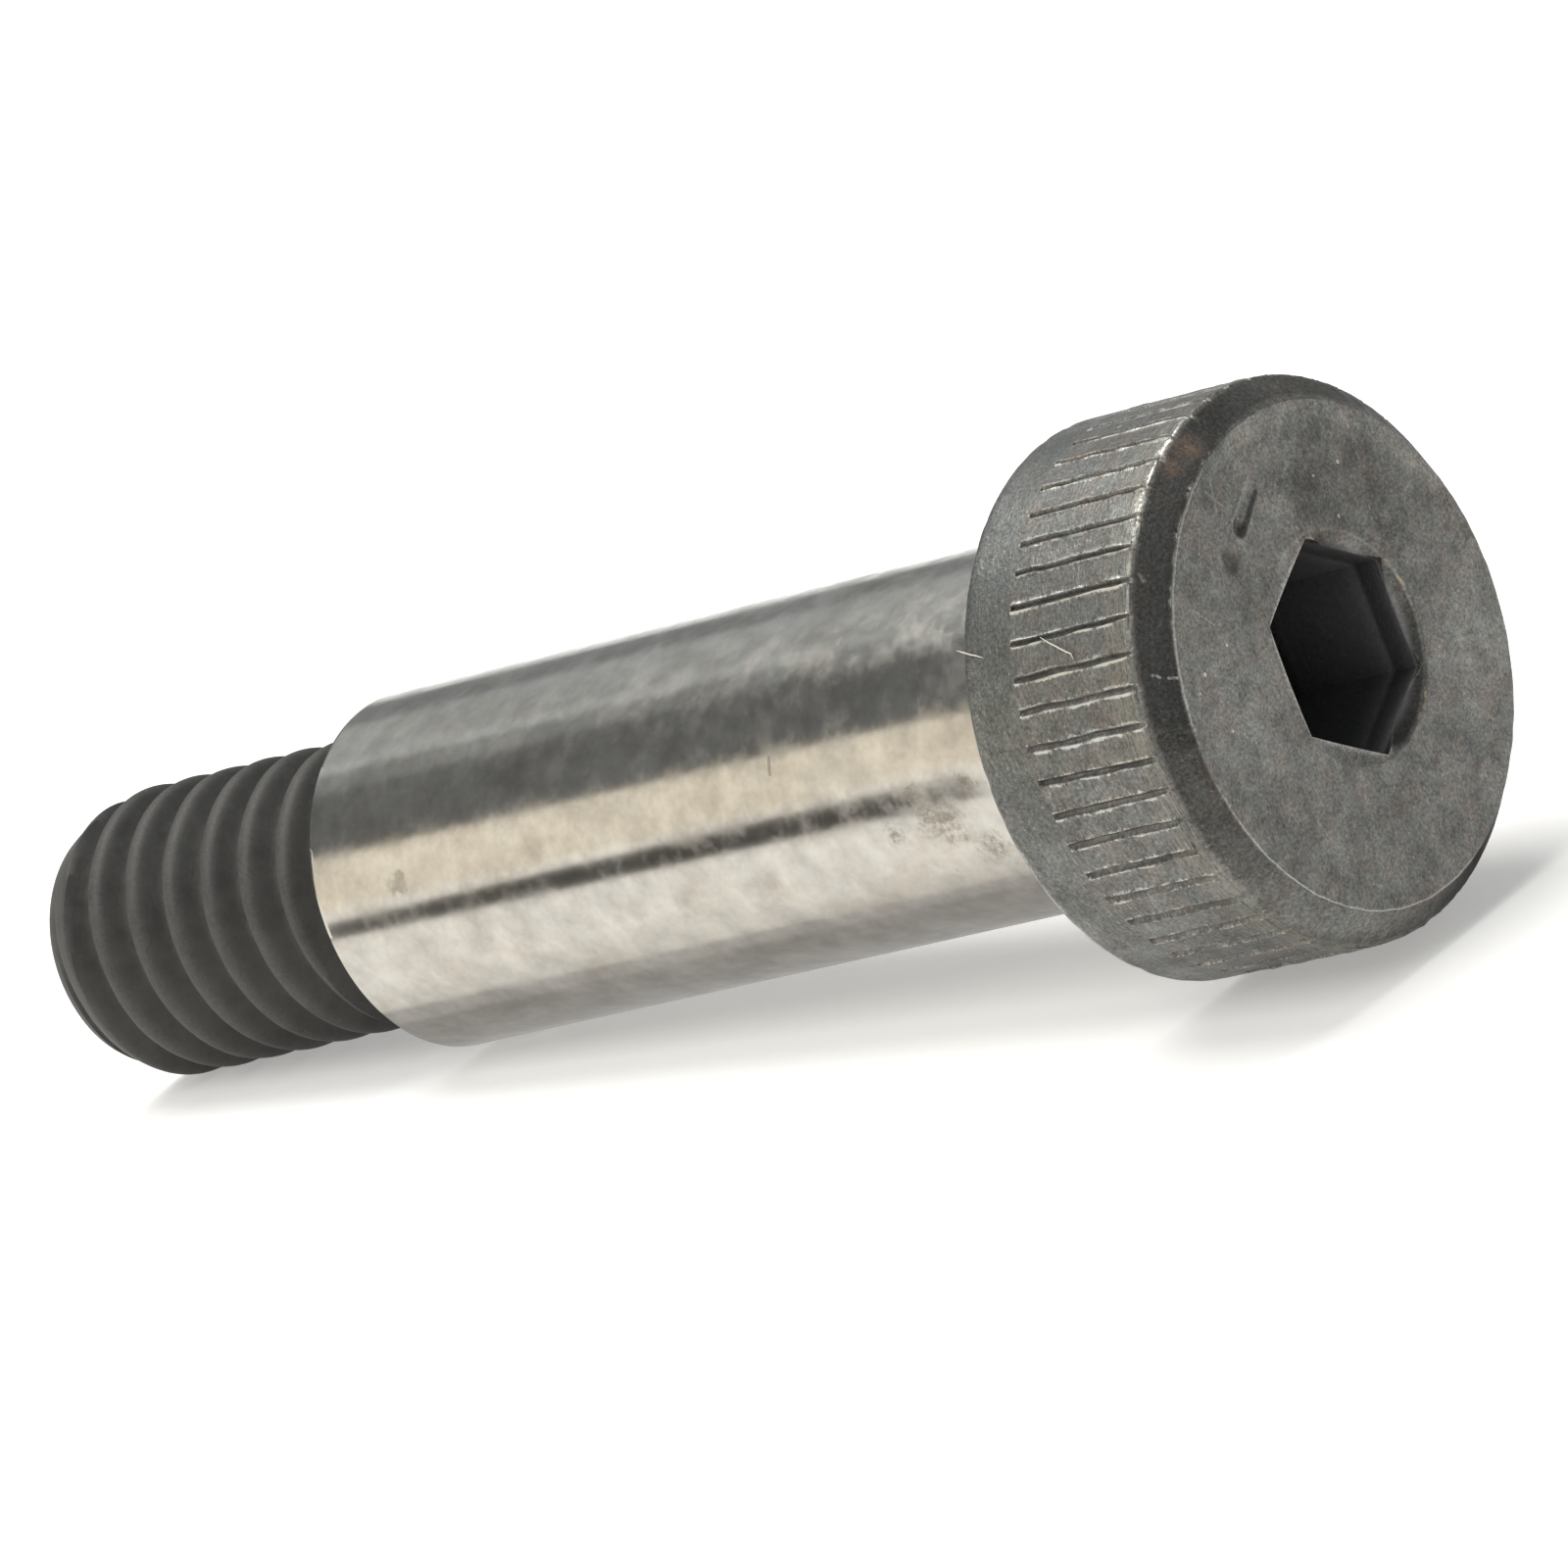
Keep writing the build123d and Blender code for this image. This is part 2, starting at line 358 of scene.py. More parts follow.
# ---- rounded top edge
edge_n = waves(50, 0.0, 150, 1.0, 15)
edge_n2 = waves(60, 6.0, 260, 1.0, 16)
x_corner = HEAD_H - (HEAD_R - FACE_R)
psi = side_psi(5.36, narrow_at(5.36))
R = edge_r(psi)
T = R * math.tan(math.radians(22.5))
TOP_WEAR_AND_HIGHLIGHT = edge_wear_and_highlight(psi)
for i, a in enumerate((90, 81, 72, 63, 54, 45)):
    c = math.radians(a)
    t = i / 5.0
    x = x_corner - T + R * math.cos(c)
    psi_i = side_psi(5.36, narrow_at(float(x.mean())))
    psi_i = psi_i * (1 - t * 0.25) + U * t * 0.25
    r = HEAD_R - R + R * math.sin(c)
    dd, burr, inside = groove_shape(x)
    ding = (edge_n(0, psi_i) * 0.014 + edge_n2(x, psi_i) * 0.014 - 0.010) * math.sin(
        math.pi * (t * 0.8 + 0.1)
    )
    ding = ding * (1 - 0.75 * smooth((np.cos(psi_i - math.radians(-5)) + 0.05) / 0.4))
    push = np.minimum(ding, 0.004) - dd
    glow = 0.65 + 0.35 * math.sin(math.pi * min(1.0, t * 0.95 + 0.2))
    sk.ring(
        x + push * math.cos(c), r + push * math.sin(c), psi_i, OXIDE,
        burr=burr * 0.6 * (0.3 + 0.7 * TOP_WEAR_AND_HIGHLIGHT), groove=inside * 0.7, edge=glow * TOP_WEAR_AND_HIGHLIGHT,
    )
x1 = x_corner - T + R * math.cos(math.radians(45))
r1 = HEAD_R - R + R * math.sin(math.radians(45))
# ---- chamfer, and the crisp edge of the face
cham_n = waves(50, 8.0, 120, 0.0035, 17)
for t in (0.08, 0.28, 0.48, 0.68, 0.85, 0.955):
    psi_i = psi * (0.75 - 0.6 * t) + U * (0.25 + 0.6 * t)
    x = x1 + (HEAD_H - x1) * t
    r = r1 + (FACE_R - r1) * t
    n = np.minimum(cham_n(x, psi_i), 0.002)
    low_edge = 0.35 * TOP_WEAR_AND_HIGHLIGHT * max(0.0, 1 - t / 0.12)
    # painted shadow: a dark line on the chamfer along the face's edge, on the upper and left side
    line = (0.9 if t > 0.9 else 0.25 if t > 0.8 else 0.0) * smooth((np.degrees(psi_i) % 360 - 95) / 15)
    line = line * smooth((215 - np.degrees(psi_i) % 360) / 25)
    sk.ring(x + n * 0.7, r + n * 0.7, psi_i, OXIDE, edge=low_edge, dent=line)
fe = waves(40, 0.0, 70, 0.010, 18)(0, U)
fd = np.degrees(U) % 360
# painted highlight: the face's edge line is brightened on its upper left and lower left
lit = 0.45 + 0.55 * smooth((fd - 172) / 30) * smooth((300 - fd) / 25)
lit = lit + 0.55 * smooth((fd - 100) / 15) * smooth((185 - fd) / 20)
upper = smooth((fd - 100) / 15) * smooth((200 - fd) / 20)
for dx, dr, m in ((-0.012, 0.022, 0.7), (0.0, -0.010, 1.0), (0.0, -0.045 - 0.02 * upper, 0.5 + 0.35 * upper)):
    sk.ring(HEAD_H + dx - 0.004, FACE_R + dr + fe * 0.6, U, OXIDE, mouth=m * lit)

# ---- face, with its gouge and its dimple
GA, GB = np.array([-0.86, 4.82]), np.array([-1.83, 4.21])
DIMPLE = np.array([-2.67, 3.71])
face_n = waves(70, 7.0, 60, 0.0016, 19)


def face_sink(y, z):
    """How far the face lies below its plane, mm, the painted shade in the gouge and the dimple, 0..1, and a painted
    highlight on the gouge's lit wall.
    """
    p = np.stack([y, z], -1)
    run = GB - GA
    tt = np.clip(((p - GA) @ run) / (run @ run), 0, 1)
    q = GA + tt[:, None] * run
    d = np.hypot(*(p - q).T)
    half = 0.215 + 0.03 * tt
    across = (p - q) @ np.array([run[1], -run[0]]) / math.hypot(*run)  # + is the socket's side
    s = smooth((half - d) / 0.12 + 0.1)
    pit = np.exp(-(np.hypot(*(p - (GA + 0.93 * run)).T) / 0.16) ** 2)
    g = (0.030 + 0.012 * tt) * s + 0.045 * pit
    rim = np.exp(-(((d - half * 1.15) / 0.06) ** 2)) * 0.012
    v = p - DIMPLE
    a = math.radians(100)
    u1 = v @ np.array([math.cos(a), math.sin(a)])
    u2 = v @ np.array([-math.sin(a), math.cos(a)])
    e = np.sqrt((u1 / 0.46) ** 2 + (u2 / 0.34) ** 2)
    bowl = smooth(np.clip(1 - e**2, 0, 1))
    deep_side = smooth(np.clip(1.6 - 1.6 * (((u1 + 0.04) / 0.42) ** 2 + ((u2 + 0.07) / 0.27) ** 2), 0, 1))
    # painted shade on the gouge's far wall, its pit and the dimple's deeper side; painted highlight on the gouge's
    # near wall
    wall = 0.60 * np.exp(-(((d - half * 0.9) / 0.055) ** 2)) * smooth(-across / 0.15 + 0.2)
    light = np.exp(-(((d - half * 0.95) / 0.06) ** 2)) * smooth(across / 0.15 + 0.1)
    dark = np.maximum(wall, 0.95 * pit) + 0.30 * bowl + 0.70 * deep_side + 0.10 * s
    return g + 0.040 * bowl - rim, np.clip(dark, 0, 1), 0.62 * light


face_rings = [6.25, 6.05, 5.80, 5.55, 5.36, 5.22, 5.12, 5.06]
face_rings += list(np.arange(5.01, 3.94, -0.05))
face_rings += [3.80, 3.60, 3.40, 3.22, 3.08, 3.02]
for r in face_rings:
    o = float(smooth((3.9 - r) / 0.8))
    y = r * np.cos(U) + o * SOCKET_AT[0]
    z = r * np.sin(U) + o * SOCKET_AT[1]
    sink, dent, bright = face_sink(y, z)
    n = np.minimum(face_n(r * 1.3, U), 0.0015)
    sk.ring(HEAD_H - 0.002 - sink + n, r, U, OXIDE, off=o, dent=dent, mouth=bright)
# ---- countersunk mouth of the socket
corner = (U - HEX_PHASE * DEG) % (np.pi / 3)
hex_m = AF_MOUTH / 2 / np.cos(corner - np.pi / 6)
hex_d = AF / 2 / np.cos(corner - np.pi / 6)
tan = math.tan(math.radians(SINK_SLOPE))
mouth_n = waves(20, 0.0, 30, 0.008, 21)(0, U)
# painted highlight on the countersink's right (ring_lit) and left side (left), painted shade towards its top
# (shade)
ring_lit = 0.25 + 0.35 * smooth((np.cos(U - math.radians(-10)) - 0.3) / 0.6)
shade = 0.45 + 0.55 * smooth((np.sin(U) + 0.2) / 0.9)
ud = np.degrees(U) % 360
left = smooth((ud - 70) / 15) * smooth((288 - ud) / 24)
shade = shade * (1 - left)
tan = tan * (1 - 0.84 * left)
sk.ring(HEAD_H - 0.004, SINK_R + 0.030 + mouth_n, U, OXIDE, off=1, mouth=np.maximum(0.8 * ring_lit, 0.4 * left))
sk.ring(HEAD_H - 0.020, SINK_R - 0.020 + mouth_n, U, OXIDE, off=1, mouth=np.maximum(ring_lit, 0.5 * left), dent=0.2 * shade)
mid_r = np.minimum(0.5 * (SINK_R + hex_m), SINK_R - 0.025)
sk.ring(HEAD_H - (SINK_R - mid_r) * tan - 0.006, mid_r, U, OXIDE, off=1, mouth=0.1 + 0.45 * left, dent=0.25 * shade)
lip = np.minimum(hex_m + 0.02, SINK_R - 0.032)
sk.ring(HEAD_H - (SINK_R - lip) * tan - 0.008, lip, U, OXIDE, off=1, mouth=0.12 + 0.8 * left, dent=0.35 * shade)
UH = U[::3]
hm, hr = hex_m[::3], hex_d[::3]
drop = np.maximum((SINK_R - hm) * tan[::3], 0.045)
sk.ring(HEAD_H - drop - 0.045, hm - 0.005, UH, OXIDE, off=1, mouth=0.1 + 0.4 * left[::3])
x_floor = HEAD_H - SOCKET_DEEP
broach = waves(30, 0.6, 70, 0.006, 22)
for x, k in ((5.72, 0.10), (5.35, 0.20), (4.7, 0.40), (4.0, 0.60), (3.3, 0.80), (2.6, 1), (x_floor + 0.08, 1)):
    w = hm * (1 - k) + hr * k
    sk.ring(x, w + np.minimum(broach(x, UH), 0.004), UH, OXIDE, off=1)
sk.ring(x_floor, hr - 0.04, UH, OXIDE, off=1)
drill = AF / 2 - 0.05
sk.ring(x_floor, np.minimum(drill + 0.03, hr - 0.045), UH, OXIDE, off=1)
for t in (0.0, 0.25, 0.5, 0.75, 0.93):
    x = x_floor - 0.02 - drill * t * math.tan(math.radians(30))
    sk.ring(x, drill * (1 - t), UH, OXIDE, off=1)
end = sk.add(x_floor - drill * math.tan(math.radians(30)) * 0.985, 0.0, np.zeros(1), off=1)
sk.join(sk.last, end, OXIDE)

# ---- two short fibres of lint caught on the head
def fibre(points, radius):
    """A thin closed tube along (x, psi, height over the side) points."""
    p = np.array([
        (x, (HEAD_R + h) * math.cos(a * DEG), (HEAD_R + h) * math.sin(a * DEG))
        for x, a, h in points
    ])
    tan = np.gradient(p, axis=0)
    tan /= np.linalg.norm(tan, axis=1)[:, None]
    out = np.array([(0.0, math.cos(a * DEG), math.sin(a * DEG)) for _, a, _ in points])
    side = np.cross(tan, out)
    side /= np.linalg.norm(side, axis=1)[:, None]
    out = np.cross(side, tan)
    ang = np.arange(6) * np.pi / 3
    sk.last = None
    ends = []
    for i, c in enumerate(p):
        r = radius * (0.35 if i in (0, len(p) - 1) else 1.0)
        ring = c + r * (np.cos(ang)[:, None] * side[i] + np.sin(ang)[:, None] * out[i])
        start = sk.n
        sk.pts.append(ring)
        for k in sk.att:
            sk.att[k].append(np.full(6, 1.0 if k == "lint" else 0.0))
        sk.n += 6
        if sk.last is not None:
            sk.join(sk.last, (start, 6), OXIDE)
        sk.last = (start, 6)
        ends.append(start)
    sk.faces += [[ends[0] + j for j in range(5, -1, -1)], [ends[-1] + j for j in range(6)]]
    sk.mats += [OXIDE, OXIDE]


fibre([(-0.10, 146.2, 0.03), (0.12, 146.9, 0.04), (0.36, 147.7, 0.05), (0.58, 148.3, 0.05),
       (0.76, 148.9, 0.03)], 0.017)
fibre([(2.66, 147.6, 0.04), (2.92, 149.0, 0.06), (3.20, 150.3, 0.07), (3.46, 151.6, 0.06),
       (3.63, 152.3, 0.05), (3.68, 153.5, 0.03)], 0.018)

local = np.concatenate(sk.pts)
mesh = bpy.data.meshes.new("bolt_skin")
mesh.from_pydata(to_row(local).tolist(), [], sk.faces)
mesh.update()
mesh.polygons.foreach_set("material_index", np.array(sk.mats, np.int32))
mesh.polygons.foreach_set("use_smooth", np.ones(len(sk.faces), bool))
mesh.set_sharp_from_angle(angle=math.radians(38))
a = mesh.attributes.new("loc", "FLOAT_VECTOR", "POINT")
a.data.foreach_set("vector", local.astype(np.float32).ravel())
for k, v in sk.att.items():
    a = mesh.attributes.new(k, "FLOAT", "POINT")
    a.data.foreach_set("value", np.concatenate(v).astype(np.float32))
bolt = bpy.data.objects.new("shoulder_bolt_skin", mesh)
bpy.context.scene.collection.objects.link(bolt)
tris = sum(len(f) - 2 for f in sk.faces)
print("bolt vertices", sk.n, "triangles", tris)


# ------------------------------------------------------------------ materials
class Tree:
    def __init__(self, name):
        self.mat = bpy.data.materials.new(name)
        self.mat.use_nodes = True
        self.nt = self.mat.node_tree
        self.nt.nodes.clear()
        self.out = self.nt.nodes.new("ShaderNodeOutputMaterial")
        self.bsdf = self.nt.nodes.new("ShaderNodeBsdfPrincipled")
        self.nt.links.new(self.bsdf.outputs[0], self.out.inputs[0])

    def link(self, a, b):
        self.nt.links.new(a, b)

    def put(self, socket, v):
        if hasattr(v, "is_linked"):
            self.link(v, socket)
        else:
            socket.default_value = v

    def att(self, name, vector=False):
        n = self.nt.nodes.new("ShaderNodeAttribute")
        n.attribute_name = name
        return n.outputs["Vector"] if vector else n.outputs["Fac"]

    def scale(self, v, s, offset=(0, 0, 0), turn=(0, 0, 0)):
        n = self.nt.nodes.new("ShaderNodeMapping")
        self.link(v, n.inputs["Vector"])
        n.inputs["Scale"].default_value = s
        n.inputs["Location"].default_value = offset
        n.inputs["Rotation"].default_value = [math.radians(a) for a in turn]
        return n.outputs[0]

    def noise(self, v, scale, detail=3.0, rough=0.55, warp=0.0):
        n = self.nt.nodes.new("ShaderNodeTexNoise")
        self.link(v, n.inputs["Vector"])
        n.inputs["Scale"].default_value = scale
        n.inputs["Detail"].default_value = detail
        n.inputs["Roughness"].default_value = rough
        n.inputs["Distortion"].default_value = warp
        return n.outputs[0]

    def span(self, v, lo, hi, a=0.0, b=1.0, kind="SMOOTHSTEP"):
        n = self.nt.nodes.new("ShaderNodeMapRange")
        n.interpolation_type = kind
        self.link(v, n.inputs[0])
        for i, q in ((1, lo), (2, hi), (3, a), (4, b)):
            n.inputs[i].default_value = q
        return n.outputs[0]

    def math(self, op, a, b=0.0, clamp=False):
        n = self.nt.nodes.new("ShaderNodeMath")
        n.operation = op
        n.use_clamp = clamp
        self.put(n.inputs[0], a)
        self.put(n.inputs[1], b)
        return n.outputs[0]

    def mul(self, *v):
        r = v[0]
        for q in v[1:]:
            r = self.math("MULTIPLY", r, q)
        return r

    def add(self, *v):
        r = v[0]
        for q in v[1:]:
            r = self.math("ADD", r, q)
        return r

    def most(self, *v):
        r = v[0]
        for q in v[1:]:
            r = self.math("MAXIMUM", r, q)
        return r

    def mix(self, fac, a, b):
        n = self.nt.nodes.new("ShaderNodeMix")
        n.data_type = "RGBA"
        self.put(n.inputs[0], fac)
        for i, q in ((6, a), (7, b)):
            if hasattr(q, "is_linked"):
                self.link(q, n.inputs[i])
            else:
                n.inputs[i].default_value = (*q, 1.0)
        return n.outputs[2]

    def tint(self, color, factor):
        """Multiply a colour by a number."""
        n = self.nt.nodes.new("ShaderNodeVectorMath")
        n.operation = "SCALE"
        self.link(color, n.inputs[0])
        self.put(n.inputs["Scale"], factor)
        return n.outputs[0]

    def ramp(self, v, stops):
        n = self.nt.nodes.new("ShaderNodeValToRGB")
        self.link(v, n.inputs[0])
        e = n.color_ramp.elements
        while len(e) < len(stops):
            e.new(0.5)
        for el, (p, c) in zip(e, stops):
            el.position = p
            el.color = (*c, 1.0)
        return n.outputs[0]

    def split(self, v):
        n = self.nt.nodes.new("ShaderNodeSeparateXYZ")
        self.link(v, n.inputs[0])
        return n.outputs

    def radius(self, v):
        s = self.split(v)
        yy = self.math("MULTIPLY", s[1], s[1])
        zz = self.math("MULTIPLY", s[2], s[2])
        return self.math("SQRT", self.math("ADD", yy, zz))

    def far(self, v, p):
        n = self.nt.nodes.new("ShaderNodeVectorMath")
        n.operation = "DISTANCE"
        self.link(v, n.inputs[0])
        n.inputs[1].default_value = p
        return n.outputs["Value"]

    def blob(self, v, p, inner, outer, ragged=None):
        """1 within inner mm of a place, falling to 0 at outer mm."""
        d = self.far(v, p)
        if ragged is not None:
            d = self.math("ADD", d, ragged)
        return self.span(d, outer, inner)

    def near(self, v, points, ragged=None, soft=0.5):
        """1 near any of these places (x, y, z, reach in mm)."""
        best = None
        for p in points:
            d = self.math("DIVIDE", self.far(v, p[:3]), p[3])
            best = d if best is None else self.math("MINIMUM", best, d)
        if ragged is not None:
            best = self.math("ADD", best, ragged)
        return self.span(best, 1.0, 1.0 - soft)

    def streak(self, v, a, b, half):
        """1 on the segment from a to b (mm), fading to 0 at half its width."""
        a, b = Vector(a), Vector(b)
        d = b - a
        sub = self.nt.nodes.new("ShaderNodeVectorMath")
        sub.operation = "SUBTRACT"
        self.link(v, sub.inputs[0])
        sub.inputs[1].default_value = a
        dot = self.nt.nodes.new("ShaderNodeVectorMath")
        dot.operation = "DOT_PRODUCT"
        self.link(sub.outputs[0], dot.inputs[0])
        dot.inputs[1].default_value = d / d.length_squared
        t = self.math("MULTIPLY", dot.outputs["Value"], 1.0, clamp=True)
        along = self.nt.nodes.new("ShaderNodeVectorMath")
        along.operation = "SCALE"
        along.inputs[0].default_value = d
        self.link(t, along.inputs["Scale"])
        gap = self.nt.nodes.new("ShaderNodeVectorMath")
        gap.operation = "DISTANCE"
        self.link(sub.outputs[0], gap.inputs[0])
        self.link(along.outputs[0], gap.inputs[1])
        return self.span(gap.outputs["Value"], half, half * 0.4)

    def bump(self, height, distance, strength=1.0, normal=None):
        n = self.nt.nodes.new("ShaderNodeBump")
        n.inputs["Strength"].default_value = strength
        n.inputs["Distance"].default_value = distance
        self.link(height, n.inputs["Height"])
        if normal is not None:
            self.link(normal, n.inputs["Normal"])
        return n.outputs[0]

    def finish(self, color, rough, metal, normal):
        b = self.bsdf.inputs
        self.put(b["Base Color"], color)
        self.put(b["Roughness"], rough)
        self.put(b["Metallic"], metal)
        if normal is not None:
            self.link(normal, b["Normal"])
        return self.mat


def polar(x, r, deg):
    a = math.radians(deg)
    return (x, r * math.cos(a), r * math.sin(a))


def oxide():
    """Black oxide over turned and forged steel: mottled, matt, worn bright on its edges."""
    t = Tree("black_oxide_steel")
    v = t.att("loc", True)
    s = t.split(v)
    rad = t.radius(v)
    burr, groove, edge = t.att("burr"), t.att("groove"), t.att("edge")
    mouth, rim, dent = t.att("mouth"), t.att("rim"), t.att("dent")
    cloud = t.noise(v, 0.9, 5, 0.86)
    grit = t.noise(t.scale(v, (1, 1, 1), (5, 2, 9)), 11.0, 2, 0.75)
    mid = t.noise(v, 2.6, 3, 0.62)
    fine = t.noise(v, 13.0, 2, 0.6)
    # marks left by turning and brushing
    ringed = t.noise(t.scale(v, (24.0, 1.2, 1.2)), 1.0, 2, 0.6)
    level = t.span(cloud, 0.36, 0.64, 0.77, 1.23, "LINEAR")
    level = t.mul(level, t.span(grit, 0.30, 0.70, 0.62, 1.38, "LINEAR"))
    side = t.span(rad, 7.02, 7.10)
    lines = t.mul(t.math("SUBTRACT", ringed, 0.5), 0.6)
    level = t.mul(level, t.add(t.mul(lines, side), 1.0))
    tipped = t.scale(v, (1, 1, 1), (3, 1, 4), (9, 14, -12))
    hair = t.span(t.noise(t.scale(tipped, (38.0, 2.2, 2.2)), 1.0, 1, 0.5), 0.58, 0.70)
    level = t.mul(level, t.add(t.mul(hair, side, 0.42), 1.0))
    hue = t.noise(t.scale(v, (1, 1, 1), (7, 3, 5)), 1.3, 3, 0.75)
    base = t.ramp(
        hue,
        [
            (0.36, (0.144, 0.149, 0.142)),
            (0.50, (0.154, 0.151, 0.141)),
            (0.62, (0.162, 0.148, 0.135)),
        ],
    )
    # the plain band keeps more of its greenish grey
    plain = t.mul(side, t.span(s[0], 1.66, 1.50))
    base = t.mix(t.mul(plain, 0.6), base, (0.130, 0.136, 0.129))
    base = t.tint(base, level)
    # painted shade: the side is darker where it faces -y
    base = t.tint(base, t.add(t.mul(side, t.span(s[1], -5.5, -6.9), -0.10), 1.0))
    # large tones on the face: a dark zone at the top, lighter ones right and left
    face = t.span(s[0], 6.05, 6.2)
    wander = t.mul(t.math("SUBTRACT", cloud, 0.5), 3.0)
    dark = t.blob(v, polar(6.25, 4.1, 58), 1.2, 2.6, wander)
    light_r = t.blob(v, polar(6.25, 5.2, -22), 0.5, 2.4, wander)
    light_l = t.blob(v, polar(6.25, 5.0, 170), 0.8, 3.4, wander)
    soft = t.mul(t.math("SUBTRACT", mid, 0.5), 0.5)
    disc = t.mul(
        t.span(t.add(rad, soft), 5.72, 5.98), t.span(s[2], 0.3, 3.0), t.span(s[1], -1.8, 0.4)
    )
    tone = t.add(
        t.mul(dark, -0.30), t.mul(light_r, 0.30), t.mul(light_l, 0.12), t.mul(disc, 0.34)
    )
    base = t.tint(base, t.add(t.mul(face, tone), 1.0))
    # painted light and shade in the socket: walls lighter near the mouth, darker at the floor and towards the top
    inner = t.mul(t.span(rad, 3.42, 3.32), t.span(s[0], 6.12, 5.98), t.span(s[0], 0.6, 1.0))
    socket_painted_light = t.mul(t.span(s[0], 2.15, 2.5, 0.55, 1.15), t.span(s[0], 4.6, 6.05, 1.0, 1.9), t.span(s[2], 2.5, 0.4, 0.45, 1.0))
    base = t.mix(inner, base, t.tint(t.mix(0.7, base, (0.150, 0.150, 0.157)), socket_painted_light))
    # painted highlight: the countersink is lighter on its right (+y) side
    cone = t.mul(t.span(rad, 3.28, 3.18), t.span(s[0], 5.96, 6.02), t.span(s[0], 6.24, 6.21))
    base = t.tint(base, t.add(t.mul(cone, t.span(s[1], 0.9, 2.2), 0.9), 1.0))
    # light specks of bare metal
    speck = t.noise(t.scale(v, (1, 1, 1), (3, 9, 1)), 10.0, 1, 0.4)
    speck = t.mul(t.span(speck, 0.715, 0.76), t.span(mid, 0.40, 0.62))
    base = t.mix(t.mul(speck, 0.55), base, (0.40, 0.39, 0.35))
    # worn metal on the groove lips, top edge, mouth of the socket and rim; on the top edge and the mouth it is also
    # a painted highlight
    ragged = t.add(t.mul(fine, 0.5), t.mul(grit, 0.5))
    worn_b = t.mul(
        t.span(t.add(burr, t.mul(ragged, 2.6)), 1.55, 2.25), t.span(groove, 0.5, 0.0)
    )
    worn_and_lit_edge = t.mul(
        t.span(t.add(edge, t.mul(t.add(ragged, t.mul(mid, 0.5)), 1.8)), 2.08, 2.56),
        t.span(groove, 0.6, 0.1),
    )
    worn_and_lit_mouth = t.span(t.add(mouth, t.mul(fine, 0.8)), 0.95, 1.45)
    worn_r = t.span(t.add(rim, t.mul(t.add(fine, mid), 0.9)), 1.35, 1.85)
    worn_and_lit = t.most(
        t.mul(worn_b, 0.92), t.mul(worn_and_lit_edge, 0.85), t.mul(worn_and_lit_mouth, 0.62), t.mul(worn_r, 0.6)
    )
    # a yellowish, finely scored zone on the ends of the lands
    ends = t.mul(side, t.span(t.add(s[0], t.mul(mid, 0.9)), 4.85, 5.35))
    ends = t.mul(ends, t.span(ringed, 0.40, 0.60))
    base = t.mix(t.mul(ends, 0.40), base, (0.27, 0.255, 0.205))
    # painted shade: the grooves' insides are darkened, more towards the bottom of the head
    low = t.span(s[2], -1.6, -4.6, 0.15, 0.85)
    base = t.mix(t.mul(groove, low), base, (0.060, 0.056, 0.048))
    # painted shade: the dents, the gouge's walls, the countersink's top and a line at the face's edge are darkened
    # in the colour
    base = t.mix(t.mul(dent, 0.60), base, (0.055, 0.051, 0.046))
    base = t.mix(t.att("lint"), base, (0.62, 0.59, 0.50))
    chamf = t.mul(
        t.span(rad, 7.08, 6.98), t.span(s[0], 6.24, 6.18), t.span(s[0], 5.2, 5.4)
    )
    up_r = t.mul(t.span(s[1], -0.8, 2.2), t.span(s[2], 3.6, 4.6), 1.3)
    low_l = t.mul(t.span(s[2], -1.8, -6.4), t.span(s[1], 2.4, -0.6), 2.4)
    far_r = t.mul(t.span(s[1], 2.0, 4.4), t.span(s[2], 4.8, 3.8), -0.6)
    # painted light and shade on the chamfer: darkened overall, less towards the top, lighter on the upper right and
    # lower left, darkest on the far right
    chamfer_painted_shading = t.mul(
        t.span(s[2], 3.2, 0.6, 0.74, 0.44), t.add(up_r, 1.0), t.add(low_l, 1.0), t.add(far_r, 1.0)
    )
    base = t.mix(chamf, base, t.tint(base, chamfer_painted_shading))
    base = t.mix(worn_and_lit, base, (0.50, 0.49, 0.455))
    # nicks and scratches seen on this bolt
    spots = [
        (6.25, -5.14, 1.72, 0.07), (6.25, -5.58, 1.40, 0.05), (6.25, 2.61, 4.10, 0.07),
        (6.25, 1.54, 4.18, 0.05), (6.25, -3.96, 2.00, 0.06), (6.25, -5.02, 0.15, 0.06),
        (6.25, 1.84, 2.95, 0.06), (*polar(2.72, 7.14, 105.4), 0.09),
        (*polar(2.96, 7.14, 94.8), 0.10),
    ]
    nick = t.most(
        t.streak(v, polar(5.72, 6.80, 159.4), polar(5.78, 6.80, 159.9), 0.07),
        t.streak(v, polar(5.85, 6.74, 160.1), polar(5.90, 6.70, 160.6), 0.06),
        t.streak(v, polar(6.05, 6.56, 161.0), polar(6.20, 6.42, 161.3), 0.05),
        t.streak(v, polar(5.62, 6.92, 138.9), polar(5.72, 6.84, 140.2), 0.09),
        t.near(v, spots),
    )
    nick = t.mul(nick, t.span(fine, 0.30, 0.55))
    base = t.mix(t.mul(nick, 0.85), base, (0.62, 0.60, 0.55))
    scratch = t.most(
        t.streak(v, (6.25, -2.10, 5.70), (6.25, -2.35, 4.90), 0.035),
        t.streak(v, (6.25, -2.45, 5.45), (6.25, -2.10, 4.95), 0.03),
        t.streak(v, (6.25, -3.35, 4.60), (6.25, -3.75, 3.90), 0.03),
        t.streak(v, (6.25, -4.60, 3.20), (6.25, -4.10, 2.60), 0.03),
        t.streak(v, polar(5.45, 7.05, 226), polar(5.75, 6.85, 229), 0.035),
        t.streak(v, polar(5.60, 6.96, 229), polar(5.70, 6.90, 233), 0.03),
    )
